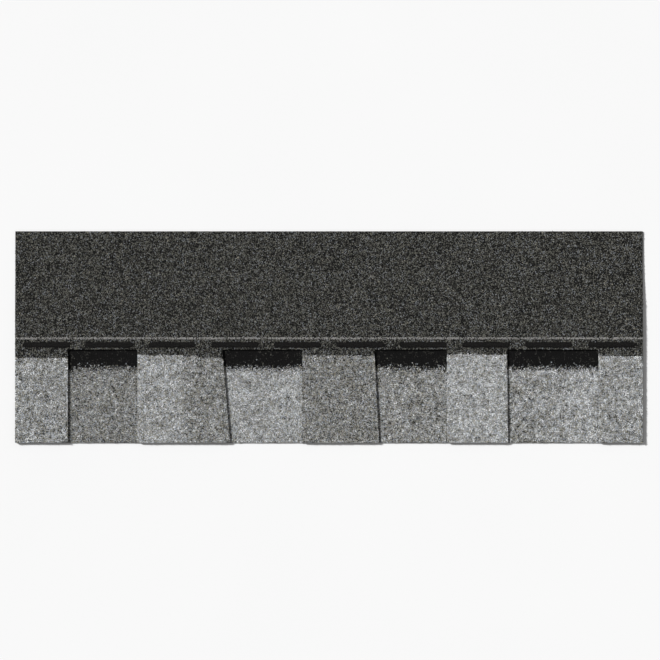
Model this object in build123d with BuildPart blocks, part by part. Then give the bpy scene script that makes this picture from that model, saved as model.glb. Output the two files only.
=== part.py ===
from build123d import *
from itertools import cycle
import os

# A laminated roof shingle, lying face up on a level floor. X runs along the course, Y runs up the
# roof from the butt edge, and Z points out of the roof. Sizes are in millimetres, and the origin is
# below the centre of the sheet, on the floor.

os.makedirs("parts", exist_ok=True)

# The toothed top sheet, and the backer strip that shows through its cut-outs.
shingle_length = 1000.0
shingle_height = 337.0
top_thickness = 2.6
backer_thickness = 2.6

# Heights above the butt edge. The course above covers everything past the exposure. The cut-outs
# end a little above that line, and the backer reaches past their roots to the nailing zone.
exposure = 143.0
root_lap = 5.5
bond_lap = 23.5

# One repeat of the cutting pattern. For each tooth it gives the width at the root, how far the
# right edge leans out on the way down to the butt edge, and the width of the cut-out that follows.
cut_pattern = [
    (84.0, 0.5, 109.0),
    (141.0, 6.0, 122.0),
    (118.5, 3.5, 109.0),
    (100.0, 2.0, 141.0),
    (143.0, 4.0, 109.0),
]
cutter_radius = 2.5

# The top sheet is limp. Past the backer it sags until it meets the floor, over this run.
sag_run = 140.0

# Asphalt stripes that glue the two sheets: dashes under each tooth, and one long stripe above.
adhesive_thickness = 0.4
stripe_width = 9.0
stripe_end_margin = 12.0
stripe_side_margin = 9.0
tooth_stripe_heights = [14.0, 82.0]
bond_stripe_above_root = 12.0

# Dashes of sealant on the face. They grip the underside of the course above.
sealant_width = 10.0
sealant_length = 76.0
sealant_gap = 24.0
sealant_rise = 0.9
sealant_edge_radius = 0.5
sealant_above_root = 7.5
sealant_end_margin = 10.0

# A film on the back keeps the sealant of the next shingle in the stack from sticking.
film_width = 25.0
film_thickness = 0.1
film_above_backer = 1.5

# Worked out from the sizes above.
tooth_height = exposure + root_lap
backer_height = tooth_height + bond_lap
top_sheet_base = backer_thickness + adhesive_thickness
half_length = shingle_length / 2
butt_edge = -shingle_height / 2


def above_butt(distance):
    """The Y position at a distance up from the butt edge."""
    return butt_edge + distance


def teeth():
    """Walks the cutting pattern along the sheet, from its left end to its right end. It gives each
    tooth's left and right edge at the root, its lean, and the right edge of its cut-out."""
    left = -half_length
    for tooth_width, lean, gap_width in cycle(cut_pattern):
        if left >= half_length:
            return
        right = left + tooth_width
        yield left, right, lean, right + gap_width
        left = right + gap_width


def draw_underside():
    """Draws the underside of the top sheet as a line across the sheet. It is level on the adhesive,
    sags through two equal tangent arcs past the backer, and then lies on the floor. It runs on past
    the top edge, where the outline of the sheet ends it."""
    backer_edge = (above_butt(backer_height), top_sheet_base)
    middle = (above_butt(backer_height + sag_run / 2), top_sheet_base / 2)
    touchdown = (above_butt(backer_height + sag_run), 0)
    Line((butt_edge, top_sheet_base), backer_edge)
    TangentArc(backer_edge, middle, tangent=(1, 0))
    TangentArc(touchdown, middle, tangent=(-1, 0))
    Line(touchdown, (touchdown[0] + shingle_height, 0))


with BuildPart() as backer_strip:
    with BuildSketch():
        with Locations((0, above_butt(backer_height / 2))):
            Rectangle(shingle_length, backer_height)
    extrude(amount=backer_thickness)

with BuildPart() as laminating_adhesive:
    with BuildSketch(Plane.XY.offset(backer_thickness)):
        with Locations((0, above_butt(tooth_height + bond_stripe_above_root))):
            SlotOverall(shingle_length - 2 * stripe_end_margin, stripe_width)
        for tooth_left, tooth_right, _, _ in teeth():
            tooth_end = min(tooth_right, half_length)
            dash_length = tooth_end - tooth_left - 2 * stripe_side_margin
            dash_middle = (tooth_left + tooth_end) / 2
            if dash_length > stripe_width:
                with Locations([(dash_middle, above_butt(up)) for up in tooth_stripe_heights]):
                    SlotOverall(dash_length, stripe_width)
    extrude(amount=adhesive_thickness)

# The top sheet is the sagging sheet inside the outline that the cutter leaves.
with BuildPart() as top_sheet:
    with BuildSketch(Plane.YZ.offset(-half_length)):
        with BuildLine():
            draw_underside()
            offset(amount=top_thickness, side=Side.LEFT)
        make_face()
    extrude(amount=shingle_length)
    with BuildSketch() as cut_outline:
        Rectangle(shingle_length, shingle_height)
        for _, tooth_right, lean, gap_right in teeth():
            with BuildLine():
                Polyline(
                    (tooth_right, above_butt(tooth_height)),
                    (gap_right, above_butt(tooth_height)),
                    (gap_right, butt_edge),
                    (tooth_right + lean, butt_edge),
                    close=True,
                )
            make_face(mode=Mode.SUBTRACT)
        cut_corners = (
            cut_outline.vertices()
            .filter_by_position(Axis.X, -half_length + cutter_radius, half_length - cutter_radius)
            .filter_by_position(Axis.Y, butt_edge, above_butt(tooth_height))
        )
        fillet(cut_corners, radius=cutter_radius)
    extrude(amount=top_sheet_base + top_thickness, mode=Mode.INTERSECT)

with BuildPart() as sealant_strip:
    with BuildSketch(Plane.XY.offset(top_sheet_base + top_thickness)):
        sealant_pitch = sealant_length + sealant_gap
        sealant_room = shingle_length - 2 * sealant_end_margin + sealant_gap
        sealant_count = int(sealant_room // sealant_pitch)
        with Locations((0, above_butt(tooth_height + sealant_above_root))):
            with GridLocations(sealant_pitch, 0, sealant_count, 1):
                SlotOverall(sealant_length, sealant_width)
    extrude(amount=sealant_rise)
    fillet(sealant_strip.faces().group_by(Axis.Z)[-1].edges(), radius=sealant_edge_radius)

with BuildPart() as release_film:
    with BuildSketch(Plane.YZ.offset(-half_length)):
        with BuildLine():
            draw_underside()
            offset(amount=film_thickness, side=Side.RIGHT)
        make_face()
        with Locations((above_butt(backer_height + film_above_backer + film_width / 2), top_sheet_base)):
            Rectangle(film_width, 2 * top_sheet_base, mode=Mode.INTERSECT)
    extrude(amount=shingle_length)

backer_strip.part.label = "backer_strip"
laminating_adhesive.part.label = "laminating_adhesive"
top_sheet.part.label = "top_sheet"
sealant_strip.part.label = "sealant_strip"
release_film.part.label = "release_film"

export_step(backer_strip.part, "parts/backer_strip.step")
export_step(laminating_adhesive.part, "parts/laminating_adhesive.step")
export_step(top_sheet.part, "parts/top_sheet.step")
export_step(sealant_strip.part, "parts/sealant_strip.step")
export_step(release_film.part, "parts/release_film.step")
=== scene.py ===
from itertools import cycle

import bpy
import numpy as np
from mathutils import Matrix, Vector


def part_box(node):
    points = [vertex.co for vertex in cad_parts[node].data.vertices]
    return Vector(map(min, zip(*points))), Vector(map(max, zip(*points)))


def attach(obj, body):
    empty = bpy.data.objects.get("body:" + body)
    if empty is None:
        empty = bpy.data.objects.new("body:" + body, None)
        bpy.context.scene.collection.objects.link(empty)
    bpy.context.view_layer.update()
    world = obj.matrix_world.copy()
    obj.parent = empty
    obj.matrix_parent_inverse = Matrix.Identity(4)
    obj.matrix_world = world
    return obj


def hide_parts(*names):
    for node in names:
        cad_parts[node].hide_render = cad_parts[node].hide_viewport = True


# A laminated roof shingle lying face up. X runs along the course, Y up the roof from the butt edge,
# Z out of the granule face. Every length is in metres.

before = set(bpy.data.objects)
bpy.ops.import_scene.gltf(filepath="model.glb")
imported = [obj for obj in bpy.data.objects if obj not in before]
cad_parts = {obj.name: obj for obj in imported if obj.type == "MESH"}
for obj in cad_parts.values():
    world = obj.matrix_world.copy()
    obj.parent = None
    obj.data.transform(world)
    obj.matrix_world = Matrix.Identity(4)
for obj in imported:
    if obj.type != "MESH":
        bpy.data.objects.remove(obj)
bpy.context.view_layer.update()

MM = 0.001

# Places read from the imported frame.
top_low, top_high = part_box("top_sheet")
film_low, film_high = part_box("release_film")
sealant_low, sealant_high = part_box("sealant_strip")
backer_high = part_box("backer_strip")[1]
LEFT_END, RIGHT_END = top_low.x, top_high.x
BUTT_EDGE, TOP_EDGE = top_low.y, top_high.y
BACKER_EDGE = backer_high.y
BACKER_FACE = backer_high.z
SHEET_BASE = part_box("laminating_adhesive")[1].z
SHEET_THICKNESS = top_high.z - SHEET_BASE

# The cutting pattern, one repeat: tooth width at the root, how far the right edge leans out by the
# butt edge, and the width of the cut-out that follows. It is the construction's, with its edges
# moved by up to 5 mm to where the photographed course has them.
CUT_PATTERN = [
    (84.0 * MM, 0.5 * MM, 111.0 * MM),
    (135.2 * MM, 12.5 * MM, 127.1 * MM),
    (114.9 * MM, 7.8 * MM, 115.6 * MM),
    (95.7 * MM, 2.0 * MM, 145.6 * MM),
    (138.4 * MM, 4.0 * MM, 109.0 * MM),
]
CUTTER_RADIUS = 2.5 * MM
TOOTH_HEIGHT = 148.5 * MM
ROOT_LINE = BUTT_EDGE + TOOTH_HEIGHT
SAG_RUN = 140.0 * MM
NAIL_LINE = BUTT_EDGE + 166.5 * MM

# The asphalt between the granules lies a little below the sheet's nominal face, and the cut edges
# are worn to a small round.
BED_DROP = 0.35 * MM
WORN_EDGE = 0.25 * MM
WORN_EDGE_STEPS = 2
SHARP_ANGLE = np.radians(50)

# The sheet meshes' spacing, the places of their rows round a cutter's corner, as angles of its
# quarter round, and the loose top edge's gentle waves.
ROW_PITCH = 4.0 * MM
COLUMN_PITCH = 8.0 * MM
CORNER_ANGLES = np.radians([0, 32, 52, 71, 90])
WAVE_RISE = 0.35 * MM
WAVE_LENGTH = 190 * MM
WAVE_SEED = 11

# A ripple's number of sine waves, the spread of their wavelengths about the one given, and the gain
# that brings their mean to about -1 to 1.
RIPPLE_WAVES = 6
RIPPLE_SPREAD = (0.6, 1.6)
RIPPLE_GAIN = 1.8

# A granule's place in the colour blend runs from 0, the darkest, to 1. Each stretch of the face
# draws its granules evenly from a part of the blend, which is its start and its width. What falls
# below 0 is of the darkest colour.
EXPOSED_WIDTH = 0.86
LIGHTEST_PICK = 0.98
HEADLAP_BLEND = (-0.16, 0.5)
# The dark band's part of the blend is mostly the darkest colour: real dark granules with painted
# shade of a next course above.
SHADOW_BAND_BLEND = (-0.34, 0.4)
PAINT_PICK = 1.0

# Colour drops along the shingle, as (place from the left end, start of its part of the blend, how
# strongly its granules cluster).
TOP_DROPS = [
    (0.0, 0.13, 0.60),
    (130 * MM, 0.21, 0.44),
    (268 * MM, 0.04, 0.42),
    (395 * MM, 0.01, 0.37),
    (630 * MM, 0.23, 0.49),
    (850 * MM, 0.16, 0.56),
]
BACKER_DROPS = [
    (0.0, 0.03, 0.32),
    (264 * MM, 0.21, 0.42),
    (515 * MM, 0.09, 0.49),
    (610 * MM, 0.07, 0.49),
    (734 * MM, 0.10, 0.57),
    (830 * MM, 0.16, 0.55),
    (880 * MM, 0.22, 0.51),
]
DROP_BLUR = 7 * MM

# The starts of the drops also drift slowly from place to place.
DRIFT = 0.03
DRIFT_LENGTH = 60 * MM
TOP_DRIFT_SEED = 21
BACKER_DRIFT_SEED = 43

# Where the dark headlap granules begin above the butt edge. It steps with the drops, and reaches a
# few millimetres below where a next course's butt edge would lie, so the dark slivers on the tooth
# tops are the headlap's own granules and partly painted shadow of that course. The dark band at the
# roots of the cut-outs ends at one height, and its granules fade out over a wider strip.
# Both lines wander, by ripples along the course given as (reach, wavelength, seed).
HEADLAP_AND_SHADE_DROPS = [
    (0.0, 134.5 * MM),
    (140 * MM, 139.5 * MM),
    (290 * MM, 134.5 * MM),
    (380 * MM, 139 * MM),
    (640 * MM, 140.5 * MM),
    (930 * MM, 138.5 * MM),
]
HEADLAP_FADE = 0.6 * MM
HEADLAP_WANDER = [(1.1 * MM, 34 * MM, 5), (0.7 * MM, 9 * MM, 6)]
# The dark band is the backer's own band of dark granules, made darker than real ones as painted
# shade, the shadow that a next course above would cast on it.
SHADOW_BAND_END = 118.2 * MM
SHADOW_BAND_FADE = 3.8 * MM
SHADOW_BAND_WANDER = [(1.5 * MM, 19 * MM, 8)]

# Clusters of like granules: their size, and their strength where the granules are dark. The fine
# granules of the bed cluster by BED_CLUSTERS, and are darker by a share of their stretch, the bed's
# painted shade for the hollows between the large granules.
CLUSTER_SIZE = 4.2 * MM
CLUSTER_SEEDS = 1000
DARK_CLUSTERS = 0.3
BED_CLUSTERS = 0.9
BED_PAINTED_SHADE = -0.3

# The painted nailing line: its width, and the share of its granules that still has paint.
NAIL_LINE_WIDTH = 3.2 * MM
PAINT_COVER = 0.55

# Granules that are geometry: how far apart they lie, how far each is shaken from its lattice place
# as a share of that, and how clear they stay of a cut edge and of the tooth beside them.
EXPOSED_SPACING = 1.7 * MM
HEADLAP_SPACING = 2.1 * MM
LATTICE_SHAKE = 0.4
EDGE_MARGIN = 0.1 * MM
TOOTH_CLEARANCE = 0.8 * MM
TOP_SCATTER_SEED = 31
CUTOUT_SCATTER_SEED = 41

# A granule's size, its spread as the natural logarithm's, and the smallest and largest share.
GRANULE_SIZE = 1.7 * MM
GRANULE_SPREAD = 0.26
GRANULE_RANGE = (0.6, 1.5)

# A granule's corners, by turns low and wide or high and narrow: how far they reach as a share of
# half its size, how high they stand as a share of its size, and how much either varies. Then how
# far a corner turns, in degrees, how flat the granule is squeezed, and how its shade varies.
CORNER_REACH = {"low": 1.05, "high": 0.72}
CORNER_REACH_RANGE = (0.78, 1.15)
CORNER_RISE = {"low": -0.12, "high": 0.36}
CORNER_RISE_RANGE = (0.7, 1.15)
CORNER_TURN = 9
SQUEEZE_RANGE = (0.68, 1.0)
SHADE_RANGE = (0.86, 1.14)

# The granules' pieces are split here along the course: the teeth and the cut-outs at the middle,
# and the headlap at this distance to either side.
HEADLAP_SPLIT = 170 * MM

# The eight triangles between a granule's six corners: the low three, the high three, and the side.
LUMP = np.array(
    [[0, 4, 2], [1, 3, 5], [0, 2, 1], [1, 2, 3], [2, 4, 3], [3, 4, 5], [4, 0, 5], [5, 0, 1]]
)

# The radius of a granule's own cell in its UV map, as a share of the cell's side.
CELL_RADIUS = 0.3

# The self-sealing dashes, as they are in the construction.
SEALANT_LENGTH = 76 * MM
SEALANT_PITCH = 100 * MM
SEALANT_COUNT = 10
SEALANT_MIDDLE = (sealant_low.y + sealant_high.y) / 2
SEALANT_WIDTH = sealant_high.y - sealant_low.y

# How far granules reach under a dash from its rim.
SEALANT_TUCK = 0.4 * MM

# A dash's mesh, and its form: how blunt its ends are, how full its crown is, how far its belly sinks
# into the bed, and how soon the ends reach full height, as a power, a power and two shares. Its
# width, height, surface and sides waver as (mean, swing, wavelength, first seed).
DASH_STATIONS = 100
DASH_AROUND = 20
DASH_BLUNTNESS = SEALANT_LENGTH / SEALANT_WIDTH * 2
DASH_CROWN = 0.6
DASH_BELLY = 0.15
DASH_RISE = 4
DASH_WIDTH = (0.9, 0.07, 13 * MM, 50)
DASH_HEIGHT = (0.84, 0.08, 21 * MM, 70)
DASH_LUMPS = (1.0, 0.13, 3.4 * MM, 90)
DASH_SIDES = (1.0, 0.05, 4.1 * MM, 30)

# The film on the back: its mesh, how far it lies off the sheet, and its creases, whose slant comes
# from their wavelengths along and up the sheet.
FILM_THICKNESS = 0.06 * MM
FILM_ROW_PITCH = 1.6 * MM
FILM_COLUMN_PITCH = 4 * MM
FILM_CLEARANCE = 0.02 * MM
CREASE_DEPTH = 0.12 * MM
CREASE_ALONG = 31 * MM
CREASE_UP = 14 * MM
CREASE_BEND = 2
CREASE_BEND_LENGTH = 90 * MM
CREASE_SEED = 61
CREASE_SHARPNESS = 10

# The view: straight down, with the shingle across the same pixels as the photographed swatch.
IMAGE_PIXELS = 660
SHINGLE_LEFT_PIXEL = 15
SHINGLE_RIGHT_PIXEL = 643
SHINGLE_MIDDLE_PIXEL_Y = 337
CAMERA_HEIGHT = 3.2
SENSOR_WIDTH = 36.0

# The light: the sun's strength, spread and way of travel, and the strength of the even fill and of
# the backdrop. The floor reaches this far from the middle.
KEY_STRENGTH = 5.05
KEY_SPREAD = np.radians(9)
KEY_TRAVEL = (0.75, -0.42, -0.55)
FILL_STRENGTH = 0.26
BACKDROP_STRENGTH = 0.9
FLOOR_REACH = 30.0


def smooth_step(t):
    """Rises from 0 to 1 as t goes from 0 to 1, as 3t² - 2t³, and is level outside."""
    t = np.clip(t, 0.0, 1.0)
    return t * t * (3.0 - 2.0 * t)


def ripple(x, y, wavelength, seed):
    """A slow wandering value between about -1 and 1: the mean of a few sine waves whose direction,
    phase and wavelength are drawn at random around the one given."""
    rng = np.random.default_rng(seed)
    total = np.zeros(np.broadcast(x, y).shape)
    for _ in range(RIPPLE_WAVES):
        heading = rng.uniform(0, 2 * np.pi)
        turns = 2 * np.pi / (wavelength * rng.uniform(*RIPPLE_SPREAD))
        phase = rng.uniform(0, 2 * np.pi)
        total = total + np.sin(turns * (x * np.cos(heading) + y * np.sin(heading)) + phase)
    return total / RIPPLE_WAVES * RIPPLE_GAIN


def wander(x, waves):
    """The sum of ripples along the course, each with its own reach, wavelength and seed."""
    return sum(reach * ripple(x, 0 * x, wavelength, seed) for reach, wavelength, seed in waves)


def wavering(x, y, form, number):
    """A mean value plus a swing times a ripple, for the dash of this number."""
    mean, swing, wavelength, first_seed = form
    return mean + swing * ripple(x, y, wavelength, first_seed + number)


def patches(x, y, size, seed):
    """Random values between -1 and 1 on a square lattice of the size given, joined by straight
    blends between the four that surround a place. The lattice starts two squares off the sheet."""
    rng = np.random.default_rng(seed)
    across, up = (x - LEFT_END) / size + 2, (y - BUTT_EDGE) / size + 2
    lattice = rng.uniform(-1, 1, (int(up.max()) + 3, int(across.max()) + 3))
    column, row = np.floor(across).astype(int), np.floor(up).astype(int)
    right, above = across - column, up - row
    below_blend = lattice[row, column] * (1 - right) + lattice[row, column + 1] * right
    above_blend = lattice[row + 1, column] * (1 - right) + lattice[row + 1, column + 1] * right
    return below_blend * (1 - above) + above_blend * above


def drop_level(drops, x, column=1):
    """A column of the drops at x: each drop's own value, joined by smooth steps that are DROP_BLUR
    wide and centred on the place where the drop begins."""
    starts = np.array([LEFT_END + drop[0] for drop in drops[1:]])
    levels = np.array([drop[column] for drop in drops])
    steps = smooth_step((x[..., None] - starts) / DROP_BLUR + 0.5)
    return levels[0] + steps @ np.diff(levels)


def headlap_and_shade_line(x):
    """Where the exposed blend gives way to the dark headlap granules. On the tooth tops it lies a
    little below a next course's butt line, so the dark there is partly painted shadow of that
    course. It steps with the drops and wanders by about a millimetre."""
    return BUTT_EDGE + drop_level(HEADLAP_AND_SHADE_DROPS, x) + wander(x, HEADLAP_WANDER)


def shadow_band_line(x):
    """The lower edge of the dark band on the backer, dark granules with painted shade, which wanders
    by a millimetre or two.
    """
    return BUTT_EDGE + SHADOW_BAND_END + wander(x, SHADOW_BAND_WANDER)


def teeth():
    """Each tooth's left and right edge at the root, its lean, and its cut-out's right edge, along
    the cutting pattern from the left end to the right end."""
    left = LEFT_END
    for tooth_width, lean, gap_width in cycle(CUT_PATTERN):
        if left >= RIGHT_END:
            return
        right = left + tooth_width
        yield left, right, lean, right + gap_width
        left = right + gap_width


def corner_flare(distance):
    """How far a cutter's quarter round stands off the straight edge at a distance from the corner:
    the radius less the chord, r - sqrt(r² - (r - d)²), and nothing past the radius."""
    reach = np.clip(CUTTER_RADIUS - distance, 0.0, CUTTER_RADIUS)
    return CUTTER_RADIUS - np.sqrt(CUTTER_RADIUS**2 - reach**2)


def tooth_sides(tooth, y):
    """A tooth's left and right edge at the heights y. The left edge is plumb and the right one
    leans out towards the butt. Both are rounded out at the root and in at the tip, except at an end
    of the shingle, which is sheared straight."""
    left, right, lean, _ = tooth
    rounding = corner_flare(ROOT_LINE - y) - corner_flare(y - BUTT_EDGE)
    left_edge = left - rounding if left > LEFT_END else np.full_like(y, LEFT_END)
    right_edge = right + lean * (ROOT_LINE - y) / TOOTH_HEIGHT + rounding
    if right >= RIGHT_END:
        right_edge = np.full_like(y, RIGHT_END)
    return left_edge, right_edge


def underside(y):
    """The top sheet's rest height. It is level on the adhesive, then two equal tangent arcs take it
    down to the floor. Each drops R - sqrt(R² - s²) at a distance s from its level end, with
    R = (a² + d²) / 2d for half the run a and half the drop d."""
    run, drop = SAG_RUN / 2, SHEET_BASE / 2
    radius = (run**2 + drop**2) / (2 * drop)
    past = np.clip(y - BACKER_EDGE, 0.0, SAG_RUN)
    falling = radius - np.sqrt(radius**2 - np.minimum(past, run) ** 2)
    landing = radius - np.sqrt(radius**2 - (SAG_RUN - np.maximum(past, run)) ** 2)
    return np.where(past < run, SHEET_BASE - falling, landing)


def headlap_wave(x, y):
    """The loose headlap's waves: from nothing at the backer's edge to WAVE_RISE at the top edge."""
    rise = smooth_step((y - BACKER_EDGE) / (TOP_EDGE - BACKER_EDGE))
    return WAVE_RISE * rise * (0.5 + 0.5 * ripple(x, y, WAVE_LENGTH, WAVE_SEED)).clip(0.0, 1.0)


def top_bed(x, y):
    """The height of the asphalt bed on the top sheet: its rest height, its waves and its thickness,
    less the depth that the granules stand in."""
    return underside(y) + headlap_wave(x, y) + SHEET_THICKNESS - BED_DROP


def backer_bed(x, y):
    """The height of the asphalt bed on the backer strip, which is flat."""
    return np.full(np.broadcast(x, y).shape, BACKER_FACE - BED_DROP)


def spaced(start, end, pitch):
    """Evenly spaced places from start to end, about a pitch apart."""
    return np.linspace(start, end, max(2, int(round((end - start) / pitch)) + 1))


def new_piece(name, vertices, faces, materials, replaces=()):
    """Makes a mesh piece from arrays of vertices and faces, gives it its materials, and lets it
    ride with the shingle. It may stand for CAD nodes."""
    mesh = bpy.data.meshes.new(name)
    corners = faces.shape[1]
    mesh.vertices.add(len(vertices))
    mesh.loops.add(faces.size)
    mesh.polygons.add(len(faces))
    mesh.vertices.foreach_set("co", np.ascontiguousarray(vertices, np.float32).ravel())
    mesh.loops.foreach_set("vertex_index", np.ascontiguousarray(faces, np.int32).ravel())
    mesh.polygons.foreach_set("loop_start", np.arange(len(faces), dtype=np.int32) * corners)
    mesh.update(calc_edges=True)
    mesh.validate()
    piece = bpy.data.objects.new(name, mesh)
    bpy.context.scene.collection.objects.link(piece)
    for material in materials:
        mesh.materials.append(material)
    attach(piece, "root")
    if replaces:
        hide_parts(*replaces)
    return piece


def store(piece, name, values):
    """Keeps one number per vertex on a piece, for its material to read."""
    piece.data.attributes.new(name, "FLOAT", "POINT").data.foreach_set(
        "value", np.ascontiguousarray(values, np.float32).ravel()
    )


def grid_faces(rows, columns, keep=None):
    """The quads of a grid of rows by columns, numbered row by row and facing +Z where the columns
    run along +X and the rows along +Y. keep says which quads there are."""
    number = np.arange(rows * columns).reshape(rows, columns)
    quads = np.stack([number[:-1, :-1], number[:-1, 1:], number[1:, 1:], number[1:, :-1]], -1)
    return quads[keep] if keep is not None else quads.reshape(-1, 4)


def give_thickness(piece, thickness):
    """Turns a face-up surface into a closed sheet by growing it downwards, and takes the sharpness
    off its edges. The piece's materials are those of the face, the cut edge and the back."""
    wall = piece.modifiers.new("thickness", "SOLIDIFY")
    wall.thickness = thickness
    wall.offset = -1.0
    wall.use_even_offset = True
    wall.material_offset_rim = 1
    wall.material_offset = 2
    rounding = piece.modifiers.new("worn_edge", "BEVEL")
    rounding.width = WORN_EDGE
    rounding.segments = WORN_EDGE_STEPS
    rounding.limit_method = "ANGLE"
    rounding.angle_limit = SHARP_ANGLE


def make_top_sheet(materials):
    """The toothed top sheet. Rows run up the roof and columns along the course. Above the root line
    a column keeps its place. Below it, a tooth's columns are spread between the tooth's two sides,
    and there are no faces between the columns of a cut-out."""
    corner = CUTTER_RADIUS * (1 - np.cos(CORNER_ANGLES))
    rows = np.concatenate(
        [
            BUTT_EDGE + corner,
            spaced(BUTT_EDGE + CUTTER_RADIUS, ROOT_LINE - CUTTER_RADIUS, COLUMN_PITCH)[1:-1],
            (ROOT_LINE - corner)[::-1],
            spaced(ROOT_LINE, TOP_EDGE, ROW_PITCH)[1:],
        ]
    )
    columns, owner = [], []
    for number, tooth in enumerate(teeth()):
        left, right = (side[0] for side in tooth_sides(tooth, np.array([ROOT_LINE])))
        own = spaced(left, right, COLUMN_PITCH)
        columns.append(own)
        owner.append(np.full(len(own), number))
        next_left = tooth[3] - CUTTER_RADIUS
        if right < RIGHT_END:
            gap = spaced(right, min(next_left, RIGHT_END), COLUMN_PITCH)
            gap = gap[1:-1] if next_left < RIGHT_END else gap[1:]
            columns.append(gap)
            owner.append(np.full(len(gap), -1))
    columns, owner = np.concatenate(columns), np.concatenate(owner)
    y = np.repeat(rows[:, None], len(columns), 1)
    x = np.repeat(columns[None, :], len(rows), 0)
    below = rows < ROOT_LINE
    for number, tooth in enumerate(teeth()):
        mine = owner == number
        left_edge, right_edge = tooth_sides(tooth, rows[below])
        share = (columns[mine] - columns[mine][0]) / (columns[mine][-1] - columns[mine][0])
        spread = left_edge[:, None] + share * (right_edge - left_edge)[:, None]
        x[np.ix_(below, mine)] = spread
    same_tooth = (owner[:-1] == owner[1:]) & (owner[:-1] >= 0)
    keep = same_tooth[None, :] | ~below[:-1, None]
    faces = grid_faces(*x.shape, keep)
    used, faces = np.unique(faces, return_inverse=True)
    x, y = x.ravel()[used], y.ravel()[used]
    sheet = new_piece(
        "toothed_top_sheet",
        np.stack([x, y, top_bed(x, y)], -1),
        faces.reshape(-1, 4),
        materials,
        ["top_sheet"],
    )
    store(sheet, "blend_start", drop_level(TOP_DROPS, x))
    store(sheet, "dark_line", headlap_and_shade_line(x))
    give_thickness(sheet, SHEET_THICKNESS - BED_DROP)


def make_backer_sheet(materials):
    """The backer strip behind the teeth: a flat grid, grown down to the floor."""
    rows = spaced(BUTT_EDGE, BACKER_EDGE, COLUMN_PITCH)
    columns = spaced(LEFT_END, RIGHT_END, COLUMN_PITCH / 2)
    x, y = (plane.ravel() for plane in np.meshgrid(columns, rows))
    sheet = new_piece(
        "backer_sheet",
        np.stack([x, y, backer_bed(x, y)], -1),
        grid_faces(len(rows), len(columns)),
        materials,
        ["backer_strip"],
    )
    store(sheet, "blend_start", drop_level(BACKER_DROPS, x))
    store(sheet, "dark_line", shadow_band_line(x))
    give_thickness(sheet, BACKER_FACE - BED_DROP)


def scattered(low_x, high_x, low_y, high_y, spacing, rng):
    """Places over a rectangle: a triangular lattice, each place shaken by up to two fifths of the
    spacing, so that the granules lie close without piling up."""
    row_step = spacing * np.sqrt(3) / 2
    columns = np.arange(low_x, high_x, spacing)
    rows = np.arange(low_y, high_y, row_step)
    x, y = np.meshgrid(columns, rows)
    x = x + (np.arange(len(rows)) % 2)[:, None] * spacing / 2
    x = (x + rng.uniform(-LATTICE_SHAKE, LATTICE_SHAKE, x.shape) * spacing).ravel()
    y = (y + rng.uniform(-LATTICE_SHAKE, LATTICE_SHAKE, y.shape) * spacing).ravel()
    inside = (x > low_x) & (x < high_x) & (y > low_y) & (y < high_y)
    return x[inside], y[inside]


def on_top_sheet(x, y, margin):
    """Which places lie on the top sheet, a margin clear of its cut edges."""
    found = y > ROOT_LINE + margin
    for tooth in teeth():
        left_edge, right_edge = tooth_sides(tooth, y.clip(BUTT_EDGE, ROOT_LINE))
        found |= (x > left_edge + margin) & (x < right_edge - margin) & (y > BUTT_EDGE + margin)
    return found & (y < TOP_EDGE - margin)


def face_picks(x, y, drops, drift_seed, dark_line, fade, dark_blend, rng):
    """Each granule's place in the colour blend. It is drawn evenly from its drop's part of the
    blend, or from the dark blend above the dark line, where strays scatter by the fade. Granules
    fall in small clusters of like colour, so that part moves up and down in patches."""
    exposed = drop_level(drops, x) + DRIFT * ripple(x, y, DRIFT_LENGTH, drift_seed)
    dark = y + rng.normal(0, fade, len(x)) > dark_line
    start = np.where(dark, dark_blend[0], exposed)
    width = np.where(dark, dark_blend[1], EXPOSED_WIDTH)
    strength = np.where(dark, DARK_CLUSTERS, drop_level(drops, x, 2))
    cluster = strength * width * patches(x, y, CLUSTER_SIZE, int(rng.integers(CLUSTER_SEEDS)))
    return (start + width * rng.uniform(0, 1, len(x)) + cluster).clip(0.0, LIGHTEST_PICK)


def top_picks(x, y, rng):
    """The top sheet's picks: its drops below the headlap line, and dark granules above it that are
    partly painted shadow at the tooth tops, with worn paint along the nailing line."""
    line = headlap_and_shade_line(x)
    pick = face_picks(x, y, TOP_DROPS, TOP_DRIFT_SEED, line, HEADLAP_FADE, HEADLAP_BLEND, rng)
    on_line = np.abs(y - NAIL_LINE) < NAIL_LINE_WIDTH / 2
    painted = on_line & (rng.uniform(0, 1, len(x)) < PAINT_COVER)
    return np.where(painted, PAINT_PICK, pick)


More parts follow.
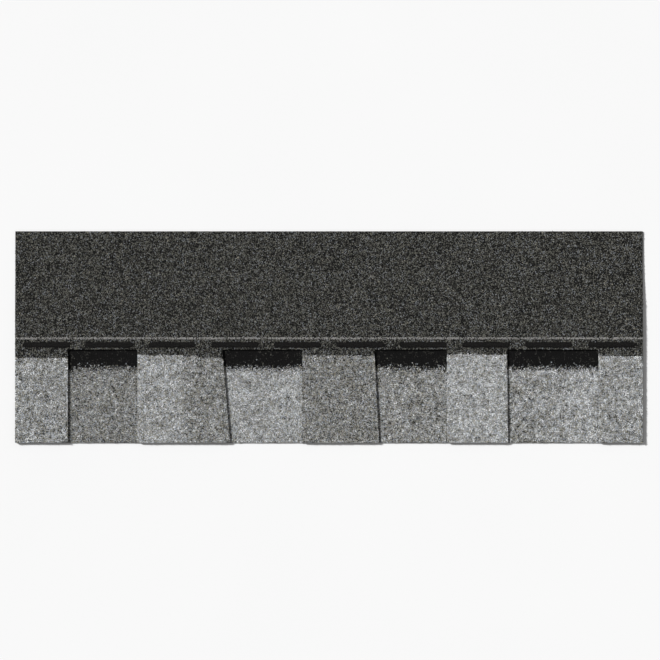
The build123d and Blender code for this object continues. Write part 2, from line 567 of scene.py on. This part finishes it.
def make_granules(name, seed, x, y, pick, bed, material):
    """Crushed stone granules at the places given, on a bed. Each is a six-cornered lump: corner k
    stands at 60k degrees, by turns low and wide or high and narrow, and every corner's angle, reach
    and height is shaken at random. Eight triangles close it: six round the side, one on the three
    high corners and one under the three low ones, which are sunk into the bed."""
    rng = np.random.default_rng(seed)
    count = len(x)
    corner = np.arange(6)
    high = corner % 2 == 1
    size = GRANULE_SIZE * np.exp(rng.normal(0, GRANULE_SPREAD, count)).clip(*GRANULE_RANGE)
    angle = np.radians(60 * corner + rng.normal(0, CORNER_TURN, (count, 6)))
    reach = np.where(high, CORNER_REACH["high"], CORNER_REACH["low"])
    radius = size[:, None] / 2 * reach * rng.uniform(*CORNER_REACH_RANGE, (count, 6))
    squeeze = rng.uniform(*SQUEEZE_RANGE, (count, 1))
    turn = rng.uniform(0, 2 * np.pi, (count, 1))
    along, across = radius * np.cos(angle), radius * np.sin(angle) * squeeze
    flat = np.minimum(size, GRANULE_SIZE)[:, None]
    stand = np.where(high, CORNER_RISE["high"], CORNER_RISE["low"])
    rise = stand * flat * rng.uniform(*CORNER_RISE_RANGE, (count, 6))
    vertices = np.stack(
        [
            x[:, None] + along * np.cos(turn) - across * np.sin(turn),
            y[:, None] + along * np.sin(turn) + across * np.cos(turn),
            bed(x, y)[:, None] + rise,
        ],
        -1,
    ).reshape(-1, 3)
    faces = (LUMP[None] + 6 * np.arange(count)[:, None, None]).reshape(-1, 3)
    piece = new_piece(name, vertices, faces, [material])
    store(piece, "granule_pick", np.repeat(pick, 6))
    store(piece, "granule_shade", np.repeat(rng.uniform(*SHADE_RANGE, count), 6))
    own_cells(piece, count)


def own_cells(piece, count):
    """A UV map that gives every granule its own small cell of a square sheet, with its six corners
    on a circle round the cell's middle."""
    side = int(np.ceil(np.sqrt(count)))
    number = np.arange(count)
    middle = (np.stack([number % side, number // side], -1) + 0.5) / side
    angle = np.radians(60 * LUMP.ravel())
    spoke = np.stack([np.cos(angle), np.sin(angle)], -1) * CELL_RADIUS / side
    uv = middle[:, None, :] + spoke[None]
    layer = piece.data.uv_layers.new(name="OFBake")
    layer.data.foreach_set("uv", uv.astype(np.float32).ravel())


def make_granule_pieces(parts, x, y, pick, bed, material):
    """Shares granules out over pieces of a manageable size. Each part is the piece's name, its seed
    and which of the granules are its own."""
    for name, seed, own in parts:
        make_granules(name, seed, x[own], y[own], pick[own], bed, material)


def make_top_granules(material):
    """The granules of the teeth, then the wider spaced ones of the headlap, which leave out what
    the sealant covers."""
    rng = np.random.default_rng(TOP_SCATTER_SEED)
    x, y = scattered(LEFT_END, RIGHT_END, BUTT_EDGE, ROOT_LINE, EXPOSED_SPACING, rng)
    inside = on_top_sheet(x, y, EDGE_MARGIN)
    x, y = x[inside], y[inside]
    pick = top_picks(x, y, rng)
    parts = [("teeth_granules_left", 19, x < 0), ("teeth_granules_right", 20, x >= 0)]
    make_granule_pieces(parts, x, y, pick, top_bed, material)
    x, y = scattered(LEFT_END, RIGHT_END, ROOT_LINE, TOP_EDGE, HEADLAP_SPACING, rng)
    inside = on_top_sheet(x, y, EDGE_MARGIN) & ~under_sealant(x, y)
    x, y = x[inside], y[inside]
    pick = top_picks(x, y, rng)
    parts = [
        ("headlap_granules_left", 21, x < -HEADLAP_SPLIT),
        ("headlap_granules_middle", 23, (x >= -HEADLAP_SPLIT) & (x < HEADLAP_SPLIT)),
        ("headlap_granules_right", 22, x >= HEADLAP_SPLIT),
    ]
    make_granule_pieces(parts, x, y, pick, top_bed, material)


def make_cutout_granules(material):
    """The granules of the backer that show in the cut-outs: its own drops, with the dark band at
    the root of every cut-out."""
    rng = np.random.default_rng(CUTOUT_SCATTER_SEED)
    x, y = scattered(LEFT_END, RIGHT_END, BUTT_EDGE, ROOT_LINE, EXPOSED_SPACING, rng)
    inside = ~on_top_sheet(x, y, -TOOTH_CLEARANCE) & (y > BUTT_EDGE + EDGE_MARGIN)
    inside &= y < ROOT_LINE - TOOTH_CLEARANCE
    x, y = x[inside], y[inside]
    band = shadow_band_line(x), SHADOW_BAND_FADE, SHADOW_BAND_BLEND
    pick = face_picks(x, y, BACKER_DROPS, BACKER_DRIFT_SEED, *band, rng)
    parts = [("cutout_granules_left", 20, x < 0), ("cutout_granules_right", 21, x >= 0)]
    make_granule_pieces(parts, x, y, pick, backer_bed, material)


def sealant_centres():
    """The middle of each sealant dash along the course, evenly pitched about the centre."""
    return (np.arange(SEALANT_COUNT) - (SEALANT_COUNT - 1) / 2) * SEALANT_PITCH


def under_sealant(x, y):
    """Which places a dash of sealant covers: those within half a width of its middle line."""
    half_run = (SEALANT_LENGTH - SEALANT_WIDTH) / 2
    along = np.abs(x[:, None] - sealant_centres()).min(1)
    beyond = np.maximum(along - half_run, 0.0)
    return np.hypot(beyond, y - SEALANT_MIDDLE) < SEALANT_WIDTH / 2 - SEALANT_TUCK


def dash_points(number, centre):
    """The points of one dash, a flattened bead. Along it u runs from end to end and its half width
    is w (1 - |2u - 1|^p)^(1/2), so that the ends are round. Round it v runs once about, the upper
    half rising as a power of a sine and the lower half nearly flat. The width, height and sides
    waver, and the granules below show through as lumps. The two end points come last."""
    u = (1 - np.cos(np.pi * (np.arange(DASH_STATIONS) + 0.5) / DASH_STATIONS)) / 2
    v = np.arange(DASH_AROUND) / DASH_AROUND * 2 * np.pi
    base = SHEET_BASE + SHEET_THICKNESS - BED_DROP
    rise = sealant_high.z - base
    x = centre + SEALANT_LENGTH * (u - 0.5)
    width = SEALANT_WIDTH / 2 * (1 - np.abs(2 * u - 1) ** DASH_BLUNTNESS).clip(0) ** 0.5
    width = width * wavering(x, 0 * x, DASH_WIDTH, number)
    swell = wavering(x, 0 * x, DASH_HEIGHT, number)
    up = np.sin(v)
    profile = np.where(up > 0, np.abs(up) ** DASH_CROWN, -DASH_BELLY * np.abs(up))
    across = width[:, None] * np.cos(v)
    along = np.repeat(x[:, None], DASH_AROUND, 1)
    full = smooth_step(width / SEALANT_WIDTH * DASH_RISE)
    lift = rise * swell[:, None] * profile * full[:, None]
    lift = np.minimum(lift * wavering(along, across, DASH_LUMPS, number), rise)
    across = across * wavering(along, 0 * along, DASH_SIDES, number)
    place = np.stack([along, SEALANT_MIDDLE + across, base + lift], -1).reshape(-1, 3)
    half = SEALANT_LENGTH / 2
    ends = np.array([[centre - half, SEALANT_MIDDLE, base], [centre + half, SEALANT_MIDDLE, base]])
    return np.concatenate([place, ends])


def dash_faces():
    """The triangles of one dash, facing outwards: two for each cell between its stations, and a fan
    at either end about the end point."""
    ring = np.arange(DASH_STATIONS * DASH_AROUND).reshape(DASH_STATIONS, DASH_AROUND)
    ring = np.concatenate([ring, ring[:, :1]], 1)
    near, far = ring[:-1], ring[1:]
    side = np.concatenate(
        [
            np.stack([near[:, :-1], near[:, 1:], far[:, 1:]], -1).reshape(-1, 3),
            np.stack([near[:, :-1], far[:, 1:], far[:, :-1]], -1).reshape(-1, 3),
        ]
    )
    start_point = np.full(DASH_AROUND, DASH_STATIONS * DASH_AROUND)
    start_cap = np.stack([start_point, ring[0, 1:], ring[0, :-1]], -1)
    end_cap = np.stack([start_point + 1, ring[-1, :-1], ring[-1, 1:]], -1)
    return np.concatenate([side, start_cap, end_cap])


def make_sealant_dashes(material):
    """The row of sealant dashes, as one piece of separate closed beads."""
    points = [dash_points(number, centre) for number, centre in enumerate(sealant_centres())]
    faces = [dash_faces() + number * len(points[0]) for number in range(SEALANT_COUNT)]
    piece = new_piece(
        "sealant_dashes",
        np.concatenate(points),
        np.concatenate(faces),
        [material],
        ["sealant_strip"],
    )
    piece.data.shade_smooth()


def make_release_film(material):
    """The film on the back: a strip that follows the sheet's underside, with shallow creases that
    cross it at a slant, of depth c |sin(x/k + y/l + bend)|^p."""
    rows = spaced(film_low.y, film_high.y, FILM_ROW_PITCH)
    columns = spaced(LEFT_END, RIGHT_END, FILM_COLUMN_PITCH)
    x, y = (plane.ravel() for plane in np.meshgrid(columns, rows))
    bend = CREASE_BEND * ripple(x, y, CREASE_BEND_LENGTH, CREASE_SEED)
    crease = np.abs(np.sin(x / CREASE_ALONG + y / CREASE_UP + bend)) ** CREASE_SHARPNESS
    z = underside(y) + headlap_wave(x, y) - FILM_CLEARANCE - CREASE_DEPTH * crease
    film = new_piece(
        "release_film_strip",
        np.stack([x, y, z], -1),
        grid_faces(len(rows), len(columns)),
        [material],
        ["release_film"],
    )
    wall = film.modifiers.new("thickness", "SOLIDIFY")
    wall.thickness = FILM_THICKNESS
    wall.offset = -1.0


# Colours, as linear red, green and blue, each with the value of its pattern where it begins or lies.
# The granules' run from dark to light, and the last one is the chalky paint of the nailing line.
GRANULE_COLOURS = [
    # The first, coal black, is darker than real black granules: painted shade, mostly in the dark
    # band at the cut-outs' roots, and also in the darkest headlap and bed granules.
    (0.00, (0.0065, 0.0065, 0.0065)),
    (0.02, (0.052, 0.051, 0.046)),
    (0.11, (0.149, 0.147, 0.127)),
    (0.24, (0.222, 0.235, 0.250)),
    (0.38, (0.330, 0.313, 0.255)),
    (0.52, (0.375, 0.376, 0.368)),
    (0.66, (0.420, 0.456, 0.508)),
    (0.79, (0.572, 0.580, 0.584)),
    (0.90, (0.812, 0.830, 0.842)),
    (0.99, (0.300, 0.295, 0.285)),
]
CUT_EDGE_COLOURS = [
    (0.42, (0.009, 0.009, 0.0085)),
    (0.60, (0.028, 0.027, 0.025)),
    (0.78, (0.15, 0.145, 0.132)),
]
SANDED_COLOURS = [
    (0.0, (0.022, 0.022, 0.022)),
    (0.7, (0.05, 0.049, 0.047)),
    (1.0, (0.20, 0.195, 0.18)),
]
FILM_COLOURS = [(0.4, (0.05, 0.05, 0.05)), (0.7, (0.19, 0.19, 0.185))]
FLOOR_COLOURS = [(0.0, (0.83, 0.83, 0.83)), (1.0, (0.85, 0.85, 0.85))]
SEALANT_COLOUR = (0.008, 0.0078, 0.0075)
LAMINATING_COLOUR = (0.012, 0.0115, 0.011)

# An even draw from -0.5 to 0.5 times this spreads about as far as a normal draw.
EVEN_SPREAD = 3.4


def new_material(name, roughness, specular=0.5):
    """A node material with its shader, and short hands for its nodes and links."""
    material = bpy.data.materials.new(name)
    material.use_nodes = True
    nodes, links = material.node_tree.nodes, material.node_tree.links
    shader = nodes["Principled BSDF"]
    shader.inputs["Roughness"].default_value = roughness
    shader.inputs["Specular IOR Level"].default_value = specular
    return material, nodes, links, shader


def feed(links, value, socket):
    """Joins another node's output to an input, or sets the input to a number."""
    if isinstance(value, bpy.types.NodeSocket):
        links.new(value, socket)
    else:
        socket.default_value = value


def math_node(nodes, links, operation, *values, clamp=False):
    """A Math node whose inputs are sockets or numbers. Returns its output."""
    node = nodes.new("ShaderNodeMath")
    node.operation = operation
    node.use_clamp = clamp
    for value, socket in zip(values, node.inputs):
        feed(links, value, socket)
    return node.outputs[0]


def mixed(nodes, links, share, first, second):
    """The first value where the share is 0 and the second where it is 1."""
    node = nodes.new("ShaderNodeMix")
    for place, value in ((0, share), (2, first), (3, second)):
        feed(links, value, node.inputs[place])
    return node.outputs[0]


def object_place(nodes, links):
    """The piece's own coordinates, whole and as X, Y and Z."""
    coordinates = nodes.new("ShaderNodeTexCoord").outputs["Object"]
    split = nodes.new("ShaderNodeSeparateXYZ")
    links.new(coordinates, split.inputs[0])
    return coordinates, split.outputs


def attribute(nodes, name):
    """One of the numbers that a piece keeps for each vertex."""
    node = nodes.new("ShaderNodeAttribute")
    node.attribute_name = name
    return node.outputs["Fac"]


def noise(nodes, links, coordinates, scale, detail=2.0):
    """A Noise texture's value on the piece's own coordinates, about 0.5. The scale is its lumps to
    the metre."""
    node = nodes.new("ShaderNodeTexNoise")
    node.inputs["Scale"].default_value = scale
    node.inputs["Detail"].default_value = detail
    links.new(coordinates, node.inputs["Vector"])
    return node.outputs["Fac"]


def cell_pattern(nodes, links, coordinates, scale):
    """A Voronoi pattern with about this many cells to the metre. It gives the distance from a
    cell's middle, and three numbers between 0 and 1 that each cell has of its own."""
    cells = nodes.new("ShaderNodeTexVoronoi")
    cells.inputs["Scale"].default_value = scale
    links.new(coordinates, cells.inputs["Vector"])
    own = nodes.new("ShaderNodeSeparateColor")
    links.new(cells.outputs["Color"], own.inputs[0])
    return cells.outputs["Distance"], own.outputs


def coloured(nodes, links, value, colours, interpolation="LINEAR"):
    """The colour for a value, read off a row of colours that runs from dark to light."""
    ramp = nodes.new("ShaderNodeValToRGB")
    ramp.color_ramp.interpolation = interpolation
    stops = ramp.color_ramp.elements
    for number, (position, colour) in enumerate(colours):
        stop = stops[number] if number < 2 else stops.new(position)
        stop.position = position
        stop.color = (*colour, 1.0)
    links.new(value, ramp.inputs["Fac"])
    return ramp.outputs["Color"]


def bump(nodes, links, shader, height, depth, strength, inward=False):
    """Joins a height to the shader's normal as relief of the depth given."""
    node = nodes.new("ShaderNodeBump")
    node.invert = inward
    node.inputs["Distance"].default_value = depth
    node.inputs["Strength"].default_value = strength
    links.new(height, node.inputs["Height"])
    links.new(node.outputs[0], shader.inputs["Normal"])


def granule_material():
    """Ceramic-coated stone. Each granule has one colour of the blend, a shade of its own, and a
    faint mottle, 0.85 plus 0.3 times a noise."""
    material, nodes, links, shader = new_material("granule_stone", roughness=0.72, specular=0.1)
    coordinates, _ = object_place(nodes, links)
    mottle = noise(nodes, links, coordinates, scale=1400.0)
    mottle = math_node(nodes, links, "MULTIPLY_ADD", mottle, 0.3, 0.85)
    shade = math_node(nodes, links, "MULTIPLY", attribute(nodes, "granule_shade"), mottle)
    pick = attribute(nodes, "granule_pick")
    scale = nodes.new("ShaderNodeVectorMath")
    scale.operation = "SCALE"
    links.new(coloured(nodes, links, pick, GRANULE_COLOURS, "CONSTANT"), scale.inputs[0])
    links.new(shade, scale.inputs["Scale"])
    links.new(scale.outputs[0], shader.inputs["Base Color"])
    return material


def bed_material(name, dark_blend, fade, painted):
    """The face between the large granules: fine granules pressed into asphalt, one for each cell of
    a cell pattern, in the colours of the drop. Above the dark line they take the dark blend, with
    strays. A cell's pick is the start of its stretch plus the width times the cell's own draw, its
    cluster and the bed's shift, which darkens the bed as painted shade for the hollows between the
    large granules. Paint covers some cells on the nailing line."""
    material, nodes, links, shader = new_material(name, roughness=0.8, specular=0.1)
    coordinates, axes = object_place(nodes, links)
    distance, draws = cell_pattern(nodes, links, coordinates, scale=850.0)
    stray = math_node(nodes, links, "SUBTRACT", draws[2], 0.5)
    stray = math_node(nodes, links, "MULTIPLY", stray, EVEN_SPREAD * fade)
    height = math_node(nodes, links, "ADD", axes[1], stray)
    dark = math_node(nodes, links, "GREATER_THAN", height, attribute(nodes, "dark_line"))
    start = mixed(nodes, links, dark, attribute(nodes, "blend_start"), dark_blend[0])
    width = mixed(nodes, links, dark, EXPOSED_WIDTH, dark_blend[1])
    cluster = noise(nodes, links, coordinates, scale=260.0)
    cluster = math_node(nodes, links, "SUBTRACT", cluster, 0.5)
    cluster = math_node(nodes, links, "MULTIPLY", cluster, BED_CLUSTERS)
    drawn = math_node(nodes, links, "ADD", draws[0], cluster)
    # Painted shade: the bed is set darker than its stretch of the blend, for the hollows between the
    # large granules.
    drawn = math_node(nodes, links, "ADD", drawn, BED_PAINTED_SHADE)
    drawn = math_node(nodes, links, "MULTIPLY", drawn, width)
    pick = math_node(nodes, links, "ADD", drawn, start)
    pick = math_node(nodes, links, "MINIMUM", pick, LIGHTEST_PICK)
    if painted:
        off_line = math_node(nodes, links, "SUBTRACT", axes[1], NAIL_LINE)
        off_line = math_node(nodes, links, "ABSOLUTE", off_line)
        on_line = math_node(nodes, links, "LESS_THAN", off_line, NAIL_LINE_WIDTH / 2)
        covered = math_node(nodes, links, "LESS_THAN", draws[1], PAINT_COVER)
        paint = math_node(nodes, links, "MULTIPLY", on_line, covered)
        pick = math_node(nodes, links, "MAXIMUM", pick, paint)
    colour = coloured(nodes, links, pick, GRANULE_COLOURS, "CONSTANT")
    links.new(colour, shader.inputs["Base Color"])
    bump(nodes, links, shader, distance, depth=0.5 * MM, strength=1.0, inward=True)
    return material


def asphalt_material(name, colour, roughness, specular, grain, depth):
    """Filled asphalt: near black, with a mottle of stone dust from about half to twice its colour,
    and a fine lumpy relief. The grain is its lumps to the metre."""
    material, nodes, links, shader = new_material(name, roughness, specular)
    coordinates, _ = object_place(nodes, links)
    speck = noise(nodes, links, coordinates, grain, detail=4.0)
    dark, dusty = ([shade * channel for channel in colour] for shade in (0.55, 2.2))
    tone = coloured(nodes, links, speck, [(0.35, dark), (0.72, dusty)])
    links.new(tone, shader.inputs["Base Color"])
    bump(nodes, links, shader, speck, depth, strength=0.7)
    return material


def cut_edge_material():
    """The sheared edge: filled asphalt with fine pale layers where the knife drew out the glass mat
    and the stone dust. The layers are noise that is six times finer through the sheet than along
    it."""
    material, nodes, links, shader = new_material("cut_asphalt_edge", roughness=0.7, specular=0.25)
    coordinates, _ = object_place(nodes, links)
    drawn_out = nodes.new("ShaderNodeVectorMath")
    drawn_out.operation = "MULTIPLY"
    drawn_out.inputs[1].default_value = (1.0, 1.0, 6.0)
    links.new(coordinates, drawn_out.inputs[0])
    layers = noise(nodes, links, drawn_out.outputs[0], scale=420.0, detail=5.0)
    links.new(coloured(nodes, links, layers, CUT_EDGE_COLOURS), shader.inputs["Base Color"])
    grain = noise(nodes, links, coordinates, scale=1100.0, detail=3.0)
    bump(nodes, links, shader, grain, depth=0.5 * MM, strength=1.0)
    return material


def sanded_back_material():
    """The back: asphalt dusted with fine sand, as pale specks on dark grey. A speck for each cell of
    a cell pattern, more of them pale in some patches than in others."""
    material, nodes, links, shader = new_material("sanded_back", roughness=0.85)
    coordinates, _ = object_place(nodes, links)
    distance, draws = cell_pattern(nodes, links, coordinates, scale=2200.0)
    patch = noise(nodes, links, coordinates, scale=35.0, detail=3.0)
    patch = math_node(nodes, links, "SUBTRACT", patch, 0.5)
    pale = math_node(nodes, links, "ADD", draws[0], patch, clamp=True)
    links.new(coloured(nodes, links, pale, SANDED_COLOURS), shader.inputs["Base Color"])
    bump(nodes, links, shader, distance, depth=0.15 * MM, strength=0.6, inward=True)
    return material


def film_material():
    """Thin clear film pressed on dark asphalt: dark, glossy, a little cloudy where it has lifted."""
    material, nodes, links, shader = new_material("release_film", roughness=0.16)
    coordinates, _ = object_place(nodes, links)
    cloud = noise(nodes, links, coordinates, scale=60.0, detail=3.0)
    links.new(coloured(nodes, links, cloud, FILM_COLOURS), shader.inputs["Base Color"])
    wrinkle = noise(nodes, links, coordinates, scale=220.0)
    bump(nodes, links, shader, wrinkle, depth=0.1 * MM, strength=0.4)
    return material


def floor_material():
    """A plain pale floor with a breath of unevenness."""
    material, nodes, links, shader = new_material("pale_floor", roughness=0.9, specular=0.1)
    coordinates, _ = object_place(nodes, links)
    tone = noise(nodes, links, coordinates, scale=3.0)
    links.new(coloured(nodes, links, tone, FLOOR_COLOURS), shader.inputs["Base Color"])
    return material


def make_floor():
    """A level floor, much wider than the shingle, facing up."""
    reach = FLOOR_REACH
    corners = [(-reach, -reach, 0), (reach, -reach, 0), (reach, reach, 0), (-reach, reach, 0)]
    mesh = bpy.data.meshes.new("studio_floor")
    mesh.from_pydata(corners, [], [(0, 1, 2, 3)])
    mesh.materials.append(floor_material())
    floor = bpy.data.objects.new("studio_floor", mesh)
    bpy.context.scene.collection.objects.link(floor)


def make_light():
    """Broad daylight-like key light from the upper left, which draws a thin shadow along each
    tooth's right edge, and an even fill from all round."""
    sun = bpy.data.lights.new("key_light", "SUN")
    sun.energy = KEY_STRENGTH
    sun.angle = KEY_SPREAD
    key = bpy.data.objects.new("key_light", sun)
    bpy.context.scene.collection.objects.link(key)
    key.rotation_euler = Vector(KEY_TRAVEL).to_track_quat("-Z", "Y").to_euler()
    world = bpy.data.worlds.new("studio")
    world.use_nodes = True
    nodes, links = world.node_tree.nodes, world.node_tree.links
    path = nodes.new("ShaderNodeLightPath")
    strength = nodes.new("ShaderNodeMapRange")
    strength.inputs["To Min"].default_value = FILL_STRENGTH
    strength.inputs["To Max"].default_value = BACKDROP_STRENGTH
    links.new(path.outputs["Is Camera Ray"], strength.inputs["Value"])
    links.new(strength.outputs[0], nodes["Background"].inputs["Strength"])
    nodes["Background"].inputs["Color"].default_value = (1.0, 1.0, 1.0, 1.0)
    bpy.context.scene.world = world
    bpy.context.scene.view_settings.view_transform = "Standard"


def make_camera():
    """Looks straight down, with up the roof as up in the picture. The lens makes the shingle span
    its pixels of the square image, and the camera stands off its middle as the pixels say."""
    pixel = (RIGHT_END - LEFT_END) / (SHINGLE_RIGHT_PIXEL - SHINGLE_LEFT_PIXEL)
    distance = CAMERA_HEIGHT - top_high.z
    camera = bpy.data.cameras.new("camera")
    camera.sensor_width = SENSOR_WIDTH
    camera.lens = SENSOR_WIDTH * distance / (pixel * IMAGE_PIXELS)
    camera.clip_end = 100.0
    stand = bpy.data.objects.new("camera", camera)
    shingle_middle_x = (SHINGLE_LEFT_PIXEL + SHINGLE_RIGHT_PIXEL) / 2
    stand.location = (
        (IMAGE_PIXELS / 2 - shingle_middle_x) * pixel,
        (SHINGLE_MIDDLE_PIXEL_Y - IMAGE_PIXELS / 2) * pixel,
        CAMERA_HEIGHT,
    )
    bpy.context.scene.collection.objects.link(stand)
    bpy.context.scene.camera = stand


make_camera()
make_light()
make_floor()

cut_edge = cut_edge_material()
sanded_back = sanded_back_material()
top_face = bed_material("granule_bed_top", HEADLAP_BLEND, HEADLAP_FADE, painted=True)
backer_face = bed_material(
    "granule_bed_backer", SHADOW_BAND_BLEND, SHADOW_BAND_FADE, painted=False
)
granule_stone = granule_material()
sealant_asphalt = asphalt_material(
    "sealant_asphalt",
    SEALANT_COLOUR,
    roughness=0.8,
    specular=0.03,
    grain=620.0,
    depth=0.6 * MM,
)
laminating_asphalt = asphalt_material(
    "laminating_asphalt",
    LAMINATING_COLOUR,
    roughness=0.35,
    specular=0.5,
    grain=400.0,
    depth=0.1 * MM,
)

make_top_sheet([top_face, cut_edge, sanded_back])
make_backer_sheet([backer_face, cut_edge, sanded_back])
make_top_granules(granule_stone)
make_cutout_granules(granule_stone)
make_sealant_dashes(sealant_asphalt)
make_release_film(film_material())

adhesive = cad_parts["laminating_adhesive"]
adhesive.data.materials.clear()
adhesive.data.materials.append(laminating_asphalt)
